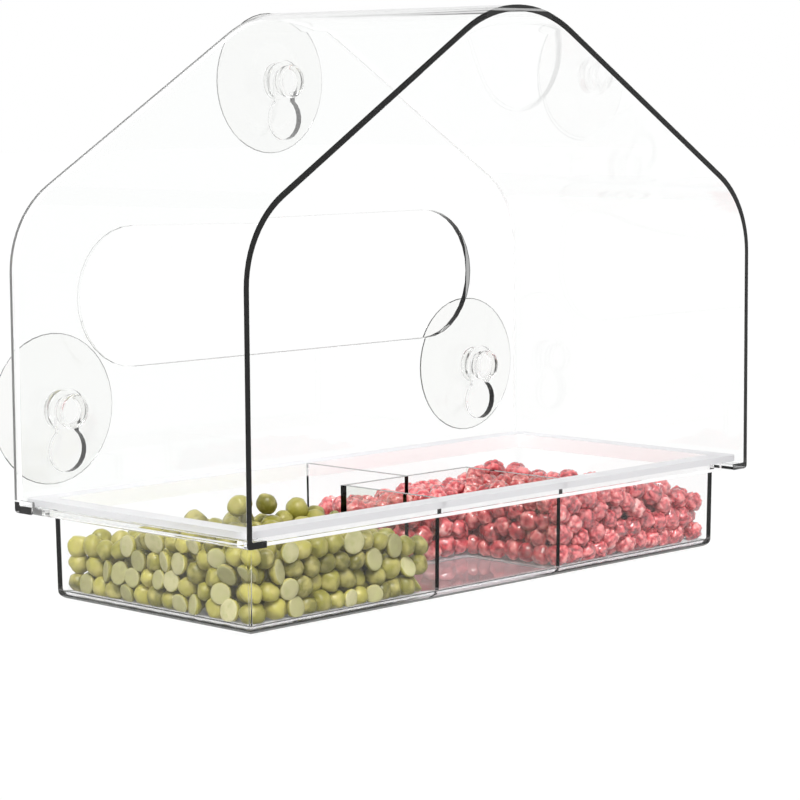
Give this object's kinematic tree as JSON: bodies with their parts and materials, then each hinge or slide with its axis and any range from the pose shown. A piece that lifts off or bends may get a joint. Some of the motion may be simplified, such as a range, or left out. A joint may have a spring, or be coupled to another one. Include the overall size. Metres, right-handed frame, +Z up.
{
  "type": "window bird feeder",
  "caption": "Clear house-shaped window bird feeder on suction cups, open at the front, with a slide-out tray in three compartments.",
  "frame": {"origin": "centre of the top suction cup, on the surface of the window pane", "axes": "+X to the right seen from the front, +Y into the pane, away from the front, +Z up"},
  "size_m": [0.277, 0.1328, 0.213],
  "materials": {
    "hood": "clear polished acrylic sheet",
    "tray": "clear moulded plastic",
    "cup": "clear soft plastic"
  },
  "bodies": {
    "cups": {"suction_cup_top": "cup", "suction_cup_left": "cup", "suction_cup_right": "cup"},
    "hood": {"roof_and_sides": "hood", "back_panel": "hood"},
    "tray": {"seed_tray": "tray"}
  },
  "joints": [
    {"name": "hood_lift", "type": "slide", "parent": "cups", "child": "hood", "axis": [0, 0, 1], "range_m": [0, 0.0145]},
    {"name": "tray_slide", "type": "slide", "parent": "hood", "child": "tray", "axis": [0, -1, 0], "range_m": [0, 0.115]}
  ]
}
